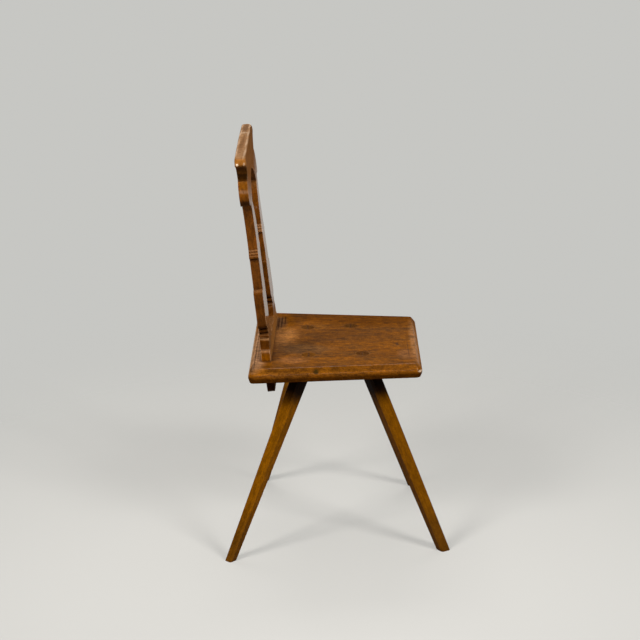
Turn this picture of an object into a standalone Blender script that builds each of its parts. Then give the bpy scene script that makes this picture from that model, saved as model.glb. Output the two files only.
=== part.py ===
# Wooden plank chair. A seat plank carries four splayed legs, wedged from above, and
# a carved and pierced back board whose two tenons pass through the seat and are keyed
# beneath it. Metres, +Z up. The chair faces -Y, and +X is the sitter's left. It is laid
# out from the middle of the seat and then stood with the middle of its box at the origin.

import math

import bmesh
import bpy
from mathutils import Matrix, Vector

# Clearance between pieces that touch, how far a cutter runs past what it cuts, and how
# near two points of an outline lie when they are one
FIT_GAP = 0.0003
CUT_OVERRUN = 0.006
SAME_POINT = 0.00001

# Seat plank, wider behind than in front. It was never quite true: from the middle of
# the back board it reaches further to its left than to its right
SEAT_TOP_HEIGHT = 0.444
SEAT_THICKNESS = 0.0305
SEAT_DEPTH = 0.372
SEAT_FRONT_RIGHT = 0.178
SEAT_FRONT_LEFT = 0.197
SEAT_REAR_LEFT = 0.233
SEAT_REAR_RIGHT = 0.222
SEAT_FRONT_SKEW = 0.003
SEAT_CORNER_RADIUS = 0.016
SEAT_TOP_ROUND_DROP = 0.013
SEAT_TOP_ROUND_REACH = 0.010
SEAT_UNDER_ROUND_RISE = 0.010
SEAT_UNDER_ROUND_REACH = 0.0035

# Back board, with heights measured up its slope from the seat top. The levels of its
# larger forms are shares of its whole height
BACK_THICKNESS = 0.020
BACK_LEAN = math.radians(6.4)
BACK_SETBACK = 0.0275
BACK_HEIGHT = 0.4615
BACK_ARRIS = 0.0012

# The board stands a little forward at its left, and it has wound the other way about its
# right stile, more and more with height
BACK_TURN = math.radians(0.5)
BACK_WIND = math.radians(1.9)
WIND_SLICES = 9

# Foot block and base of the board, with a small fillet above the base
FOOT_WIDTH = 0.320
FOOT_BLOCK_HEIGHT = 0.0235
FOOT_BLOCK_ROUND_REACH = 0.013
FOOT_BLOCK_ROUND_DROP = 0.0105
BASE_WIDTH = 0.288
BASE_SHOULDER_HEIGHT = 0.047
BASE_SHOULDER_ROUND = 0.007
FILLET_WIDTH = 0.272
FILLET_HEIGHT = 0.006
NECK_WIDTH = 0.256
BEAD_FOOT_HEIGHT = 0.0575
BEAD_RADIUS = 0.0055
BEAD_REACH = 0.007

# Lobe, waist and collar of each stile
LOBE_WIDTH = 0.300
LOBE_UNDER_ROUND = 0.016
LOBE_TOP_SHARE = 0.340
LOBE_TOP_ROUND = 0.009
WAIST_WIDTH = 0.268
COLLAR_SHARE = 0.492
COLLAR_REACH = 0.009
COLLAR_UNDER_DROP = 0.009
COLLAR_STEPS = 3
COLLAR_STEP_RISE = 0.0035
COLLAR_STEP_SLOPE = 0.002

# Ears and crest
FLARE_START_SHARE = 0.581
FLARE_WIDTH = 0.316
EAR_UNDER_SHARE = 0.7605
EAR_WIDTH = 0.412
NOTCH_SHARE = 0.8755
NOTCH_WIDTH = 0.376
CREST_WIDTH = 0.466
CREST_LIP_SHARE = 0.9535
CREST_LIP_ROUND = 0.007
CREST_END_REACH = 0.026
CREST_RISE = 0.002
CREST_FRONT_ROUND_DROP = 0.007
CREST_FRONT_ROUND_DEPTH = 0.008
CREST_REAR_ROUND_DROP = 0.004
CREST_REAR_ROUND_DEPTH = 0.004
CREST_SWELL = 0.003

# Opening in the back board, whose sides echo the outer edge a little higher up
OPENING_RAISE = 0.010
OPENING_SILL_HEIGHT = 0.034
OPENING_SILL_WIDTH = 0.146
OPENING_SILL_ROUND = 0.008
OPENING_FILLET_WIDTH = 0.154
OPENING_NECK_WIDTH = 0.170
OPENING_LOBE_WIDTH = 0.129
OPENING_WAIST_WIDTH = 0.136
OPENING_FLARE_WIDTH = 0.226
OPENING_SPRING_SHARE = 0.750
OPENING_TOP_SHARE = 0.854
OPENING_OVERRUN = 0.030

# Back tenons, which thin towards their ends, and the keys that lock them
TENON_WIDTH = 0.060
TENON_SPACING = 0.210
TENON_CHEEK = 0.0004
TENON_DROP = 0.0445
TENON_ROOT = 0.014
TENON_END_TAPER = 0.0015
KEY_LENGTH = 0.068
KEY_THICKNESS = 0.010
KEY_HEAD_HEIGHT = 0.018
KEY_TIP_HEIGHT = 0.011
KEY_SLOT_RELIEF = 0.004

# Legs: chamfered square shafts that end in round tenons, flush with the seat top
LEG_TOP_SQUARE = 0.0315
LEG_CHAMFER_SHARE = 0.15
LEG_TENON_SHOULDER_RADIUS = 0.0150
LEG_TENON_TOP_RADIUS = 0.0143
WEDGE_DEPTH = 0.020
WEDGE_TOP_THICKNESS = 0.0036
WEDGE_TIP_THICKNESS = 0.0012
WEDGE_END_MARGIN = 0.0010

# Where each leg was set by hand, from the middle of the seat: its tenon at the seat
# top and its foot on the floor, out to its own side and to the front or rear. No two
# legs were shaved or turned quite alike
LEG_TENON_SIDE = {"rear_right": 0.109, "front_right": 0.099, "rear_left": 0.098, "front_left": 0.110}
LEG_TENON_REACH = {"rear_right": 0.059, "front_right": 0.0585, "rear_left": 0.064, "front_left": 0.035}
LEG_FOOT_SIDE = {"rear_right": 0.208, "front_right": 0.150, "rear_left": 0.254, "front_left": 0.222}
LEG_FOOT_REACH = {"rear_right": 0.231, "front_right": 0.2410, "rear_left": 0.178, "front_left": 0.193}
LEG_FOOT_SQUARE = {"rear_right": 0.0182, "front_right": 0.0222, "rear_left": 0.0205, "front_left": 0.0215}
LEG_TURN = {
    "rear_right": math.radians(46),
    "front_right": math.radians(35),
    "rear_left": math.radians(43),
    "front_left": math.radians(52),
}

ARC_STEP = math.radians(15)
SMOOTH_ANGLE = math.radians(32)
CURVE_STEPS = 6
CORNER_STEPS = 6
ROUND_STEPS = 5
CREST_STEPS = 3
SIDE_STEPS = 4

SEAT_UNDERSIDE_HEIGHT = SEAT_TOP_HEIGHT - SEAT_THICKNESS
LOBE_TOP_HEIGHT = BACK_HEIGHT * LOBE_TOP_SHARE
COLLAR_HEIGHT = BACK_HEIGHT * COLLAR_SHARE
FLARE_START_HEIGHT = BACK_HEIGHT * FLARE_START_SHARE
EAR_UNDER_HEIGHT = BACK_HEIGHT * EAR_UNDER_SHARE
NOTCH_HEIGHT = BACK_HEIGHT * NOTCH_SHARE
CREST_LIP_HEIGHT = BACK_HEIGHT * CREST_LIP_SHARE
OPENING_SPRING_HEIGHT = BACK_HEIGHT * OPENING_SPRING_SHARE
OPENING_TOP_HEIGHT = BACK_HEIGHT * OPENING_TOP_SHARE
QUARTER = math.pi / 2


def clear_scene():
    for thing in list(bpy.data.objects):
        bpy.data.objects.remove(thing, do_unlink=True)


def wood(name, colour, roughness):
    material = bpy.data.materials.new(name)
    material.use_nodes = True
    shader = material.node_tree.nodes["Principled BSDF"]
    shader.inputs["Base Color"].default_value = (*colour, 1)
    shader.inputs["Roughness"].default_value = roughness
    shader.inputs["Metallic"].default_value = 0
    material.diffuse_color = (*colour, 1)
    return material


def add_object(name, mesh, material=None):
    thing = bpy.data.objects.new(name, mesh)
    bpy.context.scene.collection.objects.link(thing)
    if material:
        mesh.materials.append(material)
    return thing


def mesh_from(name, shape):
    """The finished mesh: faces turned outwards, broad faces flat and curves smooth."""
    bmesh.ops.recalc_face_normals(shape, faces=shape.faces)
    for face in shape.faces:
        face.smooth = len(face.verts) == 4
    mesh = bpy.data.meshes.new(name)
    shape.to_mesh(mesh)
    shape.free()
    mesh.set_sharp_from_angle(angle=SMOOTH_ANGLE)
    return mesh


def combine(target, tool, operation):
    """Cut the tool away from the target, or join it on, and hide the tool itself."""
    tool.hide_render = True
    tool.display_type = "WIRE"
    modifier = target.modifiers.new(tool.name, "BOOLEAN")
    modifier.operation = operation
    modifier.solver = "EXACT"
    modifier.object = tool


def cut(target, name, mesh):
    combine(target, add_object(name, mesh), "DIFFERENCE")


def loft(rings):
    """A closed solid through rings that all have the same number of points."""
    shape = bmesh.new()
    loops = [[shape.verts.new(point) for point in ring] for ring in rings]
    count = len(rings[0])
    for lower, upper in zip(loops, loops[1:]):
        for i in range(count):
            j = (i + 1) % count
            shape.faces.new((lower[i], lower[j], upper[j], upper[i]))
    shape.faces.new(list(reversed(loops[0])))
    shape.faces.new(loops[-1])
    return shape


def arc(centre, radii, start, end):
    """Points of an elliptic arc in a flat outline, both ends included."""
    steps = max(2, math.ceil(abs(end - start) / ARC_STEP))
    points = []
    for i in range(steps + 1):
        angle = start + (end - start) * i / steps
        points.append((centre[0] + radii[0] * math.cos(angle), centre[1] + radii[1] * math.sin(angle)))
    return points


def bend(start, pull, end):
    """A quadratic curve from start to end, drawn towards pull."""
    points = []
    for i in range(CURVE_STEPS + 1):
        t = i / CURVE_STEPS
        points.append(tuple(
            (1 - t) ** 2 * a + 2 * t * (1 - t) * b + t * t * c for a, b, c in zip(start, pull, end)
        ))
    return points


def mirrored(half):
    """A full outline from its +X half, which runs from the bottom to the top."""
    right = [half[0]]
    for point in half[1:]:
        if math.dist(point, right[-1]) > SAME_POINT:
            right.append(point)
    return right + [(-x, h) for x, h in reversed(right) if x > SAME_POINT]


# Seat plank

def seat_corners():
    """The plank's corners before they are rounded, in turn from the front right one."""
    front, rear = -SEAT_DEPTH / 2, SEAT_DEPTH / 2
    return (
        Vector((-SEAT_FRONT_RIGHT, front)),
        Vector((SEAT_FRONT_LEFT, front - SEAT_FRONT_SKEW)),
        Vector((SEAT_REAR_LEFT, rear)),
        Vector((-SEAT_REAR_RIGHT, rear)),
    )


def seat_ring(inset, height):
    """The plank's outline drawn in by inset, with rounded corners."""
    corners = seat_corners()
    radius = SEAT_CORNER_RADIUS - inset
    points = []
    for i, corner in enumerate(corners):
        before = corner - corners[i - 1]
        after = corners[(i + 1) % len(corners)] - corner
        start = math.atan2(before.y, before.x) - QUARTER
        sweep = (math.atan2(after.y, after.x) - QUARTER - start) % math.tau
        middle = start + sweep / 2
        reach = SEAT_CORNER_RADIUS / math.cos(sweep / 2)
        x, y = corner.x - reach * math.cos(middle), corner.y - reach * math.sin(middle)
        for k in range(CORNER_STEPS + 1):
            angle = start + sweep * k / CORNER_STEPS
            points.append(Vector((x + radius * math.cos(angle), y + radius * math.sin(angle), height)))
    return points


def seat_mesh():
    """The plank: its edge is rounded over above and eased below."""
    rings = []
    for i in range(ROUND_STEPS + 1):
        angle = QUARTER * i / ROUND_STEPS
        inset = SEAT_UNDER_ROUND_REACH * (1 - math.sin(angle))
        rise = SEAT_UNDER_ROUND_RISE * (1 - math.cos(angle))
        rings.append(seat_ring(inset, SEAT_UNDERSIDE_HEIGHT + rise))
    for i in range(ROUND_STEPS + 1):
        angle = QUARTER * i / ROUND_STEPS
        inset = SEAT_TOP_ROUND_REACH * (1 - math.cos(angle))
        drop = SEAT_TOP_ROUND_DROP * (1 - math.sin(angle))
        rings.append(seat_ring(inset, SEAT_TOP_HEIGHT - drop))
    return mesh_from("seat", loft(rings))


# Legs

class LegFrame:
    """The leg's axis, from its foot on the floor to its tenon at the seat top."""

    def __init__(self, name):
        side = 1 if name.endswith("left") else -1
        end = 1 if name.startswith("rear") else -1
        self.foot = Vector((side * LEG_FOOT_SIDE[name], end * LEG_FOOT_REACH[name], 0))
        self.head = Vector((side * LEG_TENON_SIDE[name], end * LEG_TENON_REACH[name], SEAT_TOP_HEIGHT))
        self.axis = (self.head - self.foot).normalized()
        across = Vector((1, 0, 0))
        self.across = (across - self.axis * across.dot(self.axis)).normalized()
        self.along = self.axis.cross(self.across)
        self.turn = LEG_TURN[name]
        self.foot_square = LEG_FOOT_SQUARE[name]

    def level_ring(self, height, points):
        """Points given across the leg's axis, slid along it until they lie level."""
        centre = self.foot + self.axis * (height / self.axis.z)
        ring = []
        for a, b in points:
            point = centre + self.across * a + self.along * b
            ring.append(point + self.axis * ((height - point.z) / self.axis.z))
        return ring

    def shaft_ring(self, height, square):
        """A chamfered square, with as many points as the round tenon has."""
        half = square / 2
        flat = half - square * LEG_CHAMFER_SHARE
        corners = [(half, -flat), (half, flat), (flat, half), (-flat, half),
                   (-half, flat), (-half, -flat), (-flat, -half), (flat, -half)]
        c, s = math.cos(self.turn), math.sin(self.turn)
        points = []
        for (a0, b0), (a1, b1) in zip(corners, corners[1:] + corners[:1]):
            for i in range(SIDE_STEPS):
                a, b = a0 + (a1 - a0) * i / SIDE_STEPS, b0 + (b1 - b0) * i / SIDE_STEPS
                points.append((a * c - b * s, a * s + b * c))
        return self.level_ring(height, points)

    def round_ring(self, height, radius):
        """A circle whose points follow those of the shaft round the axis."""
        sides = 8 * SIDE_STEPS
        start = self.turn - math.pi / 8
        angles = [start + math.tau * i / sides for i in range(sides)]
        return self.level_ring(height, [(radius * math.cos(t), radius * math.sin(t)) for t in angles])


def leg_mesh(name, frame):
    """A tapered chamfered square shaft, its shoulder cut to the seat, and its round tenon."""
    shoulder = SEAT_UNDERSIDE_HEIGHT - FIT_GAP
    rings = (
        frame.shaft_ring(0, frame.foot_square),
        frame.shaft_ring(shoulder, LEG_TOP_SQUARE),
        frame.round_ring(shoulder, LEG_TENON_SHOULDER_RADIUS),
        frame.round_ring(SEAT_TOP_HEIGHT, LEG_TENON_TOP_RADIUS),
    )
    return mesh_from(name, loft(rings))


def mortise_mesh(name, frame):
    """The tapered round hole for a leg tenon, run past both faces of the seat."""
    slope = (LEG_TENON_SHOULDER_RADIUS - LEG_TENON_TOP_RADIUS) / SEAT_THICKNESS
    rings = (
        frame.round_ring(SEAT_UNDERSIDE_HEIGHT - CUT_OVERRUN,
                         LEG_TENON_SHOULDER_RADIUS + FIT_GAP + slope * CUT_OVERRUN),
        frame.round_ring(SEAT_TOP_HEIGHT + CUT_OVERRUN,
                         LEG_TENON_TOP_RADIUS + FIT_GAP - slope * CUT_OVERRUN),
    )
    return mesh_from(name, loft(rings))


def wedge_mesh(name, frame, grow, length, overrun):
    """A wedge driven into the tenon's end, across the grain of the seat."""
    slope = (WEDGE_TOP_THICKNESS - WEDGE_TIP_THICKNESS) / WEDGE_DEPTH
    levels = (
        (SEAT_TOP_HEIGHT - WEDGE_DEPTH - grow, WEDGE_TIP_THICKNESS),
        (SEAT_TOP_HEIGHT + overrun, WEDGE_TOP_THICKNESS + slope * overrun),
    )
    a = length / 2
    rings = []
    for height, thickness in levels:
        b = thickness / 2 + grow
        rings.append(frame.level_ring(height, ((-a, -b), (a, -b), (a, b), (-a, b))))
    return mesh_from(name, loft(rings))


# Back board, drawn in its own plane: X across, Y up its slope, its face at Z 0

def board_matrix():
    front = SEAT_DEPTH / 2 - BACK_SETBACK - BACK_THICKNESS / math.cos(BACK_LEAN)
    stile = Vector((-TENON_SPACING / 2, front, SEAT_TOP_HEIGHT))
    turned = Matrix.Translation(stile) @ Matrix.Rotation(-BACK_TURN, 4, "Z")
    leaned = turned @ Matrix.Rotation(QUARTER - BACK_LEAN, 4, "X")
    return leaned @ Matrix.Translation((TENON_SPACING / 2, 0, 0))


def collar(waist, reach, height):
    """A stile's collar: hollowed below, and stepped back above in small fillets."""
    points = bend((waist, height - COLLAR_UNDER_DROP), (waist, height), (waist + reach, height))
    for i in range(COLLAR_STEPS):
        x = waist + reach * (COLLAR_STEPS - i) / COLLAR_STEPS
        foot = height + i * (COLLAR_STEP_RISE + COLLAR_STEP_SLOPE)
        points += [(x, foot), (x, foot + COLLAR_STEP_RISE)]
    return points + [(waist, height + COLLAR_STEPS * (COLLAR_STEP_RISE + COLLAR_STEP_SLOPE))]


def outer_half(eased):
    """The board's +X edge, from below its foot to the middle of its crest. The crest
    is drawn in by eased, for the layers that round its edge over."""
    foot, base, fillet, neck = FOOT_WIDTH / 2, BASE_WIDTH / 2, FILLET_WIDTH / 2, NECK_WIDTH / 2
    lobe, waist, flare = LOBE_WIDTH / 2, WAIST_WIDTH / 2, FLARE_WIDTH / 2
    ear, notch, crest = EAR_WIDTH / 2, NOTCH_WIDTH / 2, CREST_WIDTH / 2 - eased
    shoulder_round = BASE_SHOULDER_ROUND
    bead_top = BEAD_FOOT_HEIGHT + 2 * BEAD_RADIUS
    points = [(0, -CUT_OVERRUN), (foot, -CUT_OVERRUN)]
    points += arc((foot - FOOT_BLOCK_ROUND_REACH, FOOT_BLOCK_HEIGHT - FOOT_BLOCK_ROUND_DROP),
                  (FOOT_BLOCK_ROUND_REACH, FOOT_BLOCK_ROUND_DROP), 0, QUARTER)
    points += arc((base - shoulder_round, BASE_SHOULDER_HEIGHT - shoulder_round),
                  (shoulder_round, shoulder_round), 0, QUARTER)
    points += [(fillet, BASE_SHOULDER_HEIGHT), (fillet, BASE_SHOULDER_HEIGHT + FILLET_HEIGHT)]
    points += arc((neck, BEAD_FOOT_HEIGHT + BEAD_RADIUS), (BEAD_REACH, BEAD_RADIUS), -QUARTER, QUARTER)
    points += arc((neck, bead_top + LOBE_UNDER_ROUND), (lobe - neck, LOBE_UNDER_ROUND), -QUARTER, 0)
    points += arc((waist, LOBE_TOP_HEIGHT - LOBE_TOP_ROUND), (lobe - waist, LOBE_TOP_ROUND), 0, QUARTER)
    points += collar(waist, COLLAR_REACH, COLLAR_HEIGHT)
    points += bend((waist, FLARE_START_HEIGHT), (waist, (FLARE_START_HEIGHT + EAR_UNDER_HEIGHT) / 2),
                   (flare, EAR_UNDER_HEIGHT))
    ear_round = (NOTCH_HEIGHT - EAR_UNDER_HEIGHT) / 2
    points += arc((notch, EAR_UNDER_HEIGHT + ear_round), (ear - notch, ear_round), -QUARTER, QUARTER)
    lip_end = crest - CREST_LIP_ROUND
    points += arc((lip_end, NOTCH_HEIGHT), (notch - lip_end, CREST_LIP_HEIGHT - NOTCH_HEIGHT), 0, QUARTER)
    nose = CREST_LIP_HEIGHT + CREST_LIP_ROUND
    points += arc((lip_end, nose), (CREST_LIP_ROUND, CREST_LIP_ROUND), -QUARTER, 0)
    top = BACK_HEIGHT - CREST_RISE - eased
    points += arc((crest - CREST_END_REACH, nose), (CREST_END_REACH, top - nose), 0, QUARTER)
    points += [(0, BACK_HEIGHT - eased)]
    return points


def opening_half():
    """The opening's +X edge, from the sill to the top of its arch."""
    sill, neck, lobe = OPENING_SILL_WIDTH / 2, OPENING_NECK_WIDTH / 2, OPENING_LOBE_WIDTH / 2
    waist, flare = OPENING_WAIST_WIDTH / 2, OPENING_FLARE_WIDTH / 2
    fillet = OPENING_FILLET_WIDTH / 2
    base_top = BASE_SHOULDER_HEIGHT + OPENING_RAISE
    bead_foot = BEAD_FOOT_HEIGHT + OPENING_RAISE
    bead_top = bead_foot + 2 * BEAD_RADIUS
    lobe_top = LOBE_TOP_HEIGHT + OPENING_RAISE
    points = [(0, OPENING_SILL_HEIGHT)]
    points += arc((sill - OPENING_SILL_ROUND, OPENING_SILL_HEIGHT + OPENING_SILL_ROUND),
                  (OPENING_SILL_ROUND, OPENING_SILL_ROUND), -QUARTER, 0)
    points += arc((fillet, base_top - BASE_SHOULDER_ROUND), (sill - fillet, BASE_SHOULDER_ROUND), 0, QUARTER)
    points += [(fillet, base_top + FILLET_HEIGHT), (neck, base_top + FILLET_HEIGHT)]
    points += arc((neck, bead_foot + BEAD_RADIUS), (-BEAD_REACH, BEAD_RADIUS), -QUARTER, QUARTER)
    points += arc((neck, bead_top + LOBE_UNDER_ROUND), (lobe - neck, LOBE_UNDER_ROUND), -QUARTER, 0)
    points += arc((waist, lobe_top - LOBE_TOP_ROUND), (lobe - waist, LOBE_TOP_ROUND), 0, QUARTER)
    points += collar(waist, -COLLAR_REACH, COLLAR_HEIGHT + OPENING_RAISE)
    points += bend((waist, FLARE_START_HEIGHT), (waist, (FLARE_START_HEIGHT + OPENING_SPRING_HEIGHT) / 2),
                   (flare, OPENING_SPRING_HEIGHT))
    rise = OPENING_TOP_HEIGHT - OPENING_SPRING_HEIGHT
    radius = (flare * flare + rise * rise) / (2 * rise)
    half_sweep = math.asin(flare / radius)
    points += arc((0, OPENING_TOP_HEIGHT - radius), (radius, radius), QUARTER - half_sweep, QUARTER)
    return points


def crest_layers():
    """Depths behind the face, and how far each layer's crest is drawn in."""
    layers = []
    for i in range(CREST_STEPS + 1):
        angle = QUARTER * i / CREST_STEPS
        layers.append((CREST_FRONT_ROUND_DEPTH * (1 - math.cos(angle)),
                       CREST_FRONT_ROUND_DROP * (1 - math.sin(angle))))
    for i in range(CREST_STEPS + 1):
        angle = QUARTER * i / CREST_STEPS
        layers.append((BACK_THICKNESS - CREST_REAR_ROUND_DEPTH * (1 - math.sin(angle)),
                       CREST_REAR_ROUND_DROP * (1 - math.cos(angle))))
    return layers


def board_mesh():
    """The board's solid outline, its crest rounded over and left a little thicker in
    front, wound about its right stile."""
    rings = [[(x, h, -depth) for x, h in mirrored(outer_half(eased))] for depth, eased in crest_layers()]
    shape = loft(rings)
    heights = [BACK_HEIGHT * i / WIND_SLICES for i in range(1, WIND_SLICES)]
    for height in heights + [NOTCH_HEIGHT, CREST_LIP_HEIGHT]:
        everything = shape.verts[:] + shape.edges[:] + shape.faces[:]
        bmesh.ops.bisect_plane(shape, geom=everything, plane_co=(0, height, 0), plane_no=(0, 1, 0))
    for vert in shape.verts:
        climb = (vert.co.y - NOTCH_HEIGHT) / (CREST_LIP_HEIGHT - NOTCH_HEIGHT)
        frontness = 1 + vert.co.z / BACK_THICKNESS
        vert.co.z += CREST_SWELL * frontness * min(1, max(0, climb))
        share = max(0, vert.co.y / BACK_HEIGHT) ** 2
        vert.co.z -= math.tan(BACK_WIND) * share * (vert.co.x + TENON_SPACING / 2)
    shape.transform(board_matrix())
    return mesh_from("back_board", shape)


def plate_mesh(name, outline, front, rear):
    """An outline in the board's plane made solid between two depths behind its face."""
    shape = loft([[(x, h, -depth) for x, h in outline] for depth in (front, rear)])
    shape.transform(board_matrix())
    return mesh_from(name, shape)


def tenon_mesh(name, side):
    """A tenon in the board's plane, rooted in the board and thinner at its free end."""
    centre = side * TENON_SPACING / 2
    end = -(SEAT_THICKNESS + TENON_DROP) / math.cos(BACK_LEAN)
    rings = []
    for height, taper in ((end, TENON_END_TAPER), (-SEAT_THICKNESS, 0), (TENON_ROOT, 0)):
        a = TENON_WIDTH / 2 - taper
        front, rear = TENON_CHEEK + taper, BACK_THICKNESS - TENON_CHEEK - taper
        rings.append([(centre - a, height, -front), (centre + a, height, -front),
                      (centre + a, height, -rear), (centre - a, height, -rear)])
    shape = loft(rings)
    shape.transform(board_matrix())
    return mesh_from(name, shape)


def tenon_slot_mesh(name, side):
    """The sloped slot in the seat that a back tenon passes through."""
    a = TENON_WIDTH / 2 + FIT_GAP
    centre = side * TENON_SPACING / 2
    low = -(SEAT_THICKNESS + CUT_OVERRUN)
    outline = [(centre - a, low), (centre + a, low), (centre + a, CUT_OVERRUN), (centre - a, CUT_OVERRUN)]
    return plate_mesh(name, outline, TENON_CHEEK - FIT_GAP, BACK_THICKNESS - TENON_CHEEK + FIT_GAP)


def foot_level_mesh(name):
    """What is sawn off the board's foot to sit it level on the seat."""
    half = FOOT_WIDTH / 2 + CUT_OVERRUN
    low, high = SEAT_UNDERSIDE_HEIGHT, SEAT_TOP_HEIGHT + FIT_GAP
    rings = []
    for height in (low, high):
        rings.append([(-half, 0, height), (half, 0, height),
                      (half, SEAT_DEPTH / 2, height), (-half, SEAT_DEPTH / 2, height)])
    return mesh_from(name, loft(rings))


def key_mesh(name, side, grow, relief):
    """A tapered key through a tenon, from a tall head behind to a thin tip in front.
    Its level top bears on the seat's underside."""
    slope = math.tan(BACK_LEAN)
    middle = SEAT_DEPTH / 2 - BACK_SETBACK - BACK_THICKNESS / 2 - slope * SEAT_THICKNESS
    centre = side * TENON_SPACING / 2
    top = SEAT_UNDERSIDE_HEIGHT - FIT_GAP + relief
    half = KEY_THICKNESS / 2 + grow
    rings = []
    for y, height in ((middle - KEY_LENGTH / 2, KEY_TIP_HEIGHT), (middle + KEY_LENGTH / 2, KEY_HEAD_HEIGHT)):
        low = SEAT_UNDERSIDE_HEIGHT - height - grow
        rings.append([(centre - half, y, low), (centre + half, y, low),
                      (centre + half, y, top), (centre - half, y, top)])
    return mesh_from(name, loft(rings))


def soften(target, width):
    modifier = target.modifiers.new("eased_arris", "BEVEL")
    modifier.width = width
    modifier.segments = 1
    modifier.limit_method = "ANGLE"
    modifier.angle_limit = math.radians(50)
    modifier.use_clamp_overlap = True


def add_back(seat, board_wood, key_wood):
    back = add_object("back_board", board_mesh(), board_wood)
    cut(back, "back_foot_level", foot_level_mesh("back_foot_level"))
    for side, label in ((1, "left"), (-1, "right")):
        tenon = add_object("back_tenon_" + label, tenon_mesh("back_tenon_" + label, side))
        combine(back, tenon, "UNION")
        cut(seat, "back_slot_" + label, tenon_slot_mesh("back_slot_" + label, side))
        add_object("back_key_" + label, key_mesh("back_key_" + label, side, 0, 0), key_wood)
        cut(back, "key_slot_" + label, key_mesh("key_slot_" + label, side, FIT_GAP, KEY_SLOT_RELIEF))
    opening = mirrored(opening_half())
    cut(back, "back_opening",
        plate_mesh("back_opening", opening, -OPENING_OVERRUN, BACK_THICKNESS + OPENING_OVERRUN))
    soften(back, BACK_ARRIS)


def add_leg(seat, place, leg_wood, wedge_wood):
    frame = LegFrame(place)
    leg = add_object("leg_" + place, leg_mesh("leg_" + place, frame), leg_wood)
    cut(seat, "mortise_" + place, mortise_mesh("mortise_" + place, frame))
    kerf_length = 2 * (LEG_TENON_SHOULDER_RADIUS + CUT_OVERRUN)
    cut(leg, "kerf_" + place, wedge_mesh("kerf_" + place, frame, FIT_GAP, kerf_length, CUT_OVERRUN))
    wedge_length = 2 * (LEG_TENON_TOP_RADIUS - WEDGE_END_MARGIN)
    wedge = wedge_mesh("leg_wedge_" + place, frame, 0, wedge_length, 0)
    add_object("leg_wedge_" + place, wedge, wedge_wood)


def stand_on_origin():
    """Carry everything on one empty, placed so that the chair's box stands on the origin."""
    depsgraph = bpy.context.evaluated_depsgraph_get()
    things = list(bpy.data.objects)
    corners = []
    for thing in things:
        if not thing.hide_render:
            corners += [Vector(corner) for corner in thing.evaluated_get(depsgraph).bound_box]
    middle = [(min(c[axis] for c in corners) + max(c[axis] for c in corners)) / 2 for axis in (0, 1)]
    chair = add_object("chair", None)
    for thing in things:
        thing.parent = chair
    chair.location = (-middle[0], -middle[1], 0)


def build():
    clear_scene()
    plank_wood = wood("plank_wood", (0.30, 0.145, 0.055), 0.42)
    board_wood = wood("board_wood", (0.27, 0.115, 0.035), 0.40)
    leg_wood = wood("leg_wood", (0.33, 0.18, 0.045), 0.45)
    wedge_wood = wood("wedge_wood", (0.16, 0.085, 0.035), 0.55)
    key_wood = wood("key_wood", (0.20, 0.11, 0.045), 0.60)

    seat = add_object("seat", seat_mesh(), plank_wood)
    add_back(seat, board_wood, key_wood)
    for place in LEG_TURN:
        add_leg(seat, place, leg_wood, wedge_wood)
    stand_on_origin()


build()
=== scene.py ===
import math
import bmesh
import bpy
from mathutils import Matrix, Vector


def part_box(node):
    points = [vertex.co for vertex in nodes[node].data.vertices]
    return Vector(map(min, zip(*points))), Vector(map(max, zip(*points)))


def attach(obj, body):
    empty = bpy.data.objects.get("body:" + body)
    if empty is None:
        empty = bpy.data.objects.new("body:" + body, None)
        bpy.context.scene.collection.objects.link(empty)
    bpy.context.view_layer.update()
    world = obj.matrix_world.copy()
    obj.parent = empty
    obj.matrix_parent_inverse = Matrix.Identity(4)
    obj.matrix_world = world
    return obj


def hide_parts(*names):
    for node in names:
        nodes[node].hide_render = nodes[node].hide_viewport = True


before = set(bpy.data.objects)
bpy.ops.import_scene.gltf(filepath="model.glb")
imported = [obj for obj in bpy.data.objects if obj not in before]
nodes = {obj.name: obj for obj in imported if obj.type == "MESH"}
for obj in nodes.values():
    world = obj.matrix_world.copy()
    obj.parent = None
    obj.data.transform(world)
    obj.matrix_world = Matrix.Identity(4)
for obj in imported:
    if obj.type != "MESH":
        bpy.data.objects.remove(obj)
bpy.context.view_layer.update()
bpy.ops.object.select_all(action="DESELECT")
seatUnder, seatTop = (corner.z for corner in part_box("seat"))
legNames = ("leg_rear_right", "leg_front_right", "leg_rear_left", "leg_front_left")
levelSlack = 0.0001  # metres within which a point counts as level with another


def middleAt(nodeName, height):
    # the middle of a node's outline at this height
    points = [vert.co for vert in nodes[nodeName].data.vertices if abs(vert.co.z - height) < levelSlack]
    across, along, _ = zip(*points)
    return Vector(((min(across) + max(across)) / 2, (min(along) + max(along)) / 2, height))


# each leg's middle where it comes through the seat, and on the floor
legEnds = {name: (middleAt(name, seatTop), middleAt(name, 0)) for name in legNames}
print("frame loaded,", len(nodes), "nodes")

# camera, at the height and distance of a person standing beside the chair; its turns are in degrees
cameraLook = {
    "place": (-3.26665, 0.01314, 1.4544),
    "down": 16.5194,
    "yaw": 0.4980,
    "roll": -0.1237,
    "lens": 84.994,
}


def addCamera(look):
    down, yaw, roll = (math.radians(look[key]) for key in ("down", "yaw", "roll"))
    ahead = Vector((math.cos(down) * math.cos(yaw), math.cos(down) * math.sin(yaw), -math.sin(down)))
    side = Vector((math.sin(yaw), -math.cos(yaw), 0))
    side = side * math.cos(roll) + side.cross(ahead) * math.sin(roll)
    above = side.cross(ahead)
    bpy.ops.object.camera_add(location=look["place"])
    camera = bpy.context.object
    camera.name = "viewCamera"
    camera.rotation_euler = Matrix((side, above, -ahead)).transposed().to_euler()
    camera.data.lens = look["lens"]
    bpy.context.scene.camera = camera


addCamera(cameraLook)

# how far apart nodes stand in the shader editor
nodeStep = {"across": 220, "down": 200}


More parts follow.
